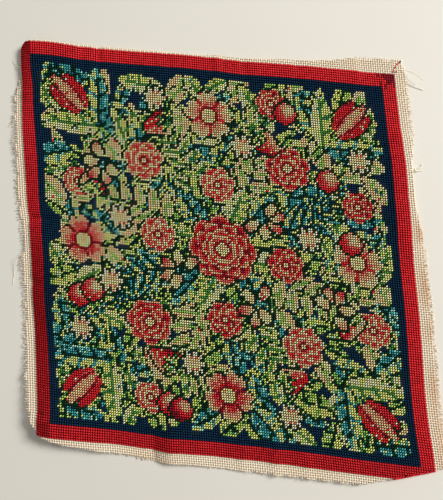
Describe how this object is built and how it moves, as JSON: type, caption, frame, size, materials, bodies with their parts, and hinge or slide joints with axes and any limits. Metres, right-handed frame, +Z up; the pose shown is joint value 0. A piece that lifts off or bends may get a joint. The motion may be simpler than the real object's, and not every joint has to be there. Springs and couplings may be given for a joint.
{
  "type": "needlepoint canvas panel",
  "caption": "Square needlepoint panel lying flat: wool stitches on woven canvas with a plain border, open and turned margins and one corner folded under.",
  "frame": {"origin": "on the table, under the middle of the panel's box", "axes": "+X along the stitch rows to the right, +Y towards the panel's top edge, +Z up from the table"},
  "size_m": [0.5146, 0.4646, 0.0155],
  "materials": {
    "canvas": "matt woven cotton",
    "border_wool": "matt wool stitches",
    "field_wool": "matt wool stitches"
  },
  "bodies": {
    "root": {"canvas": "canvas", "border_wool": "border_wool", "field_wool": "field_wool"}
  },
  "joints": []
}
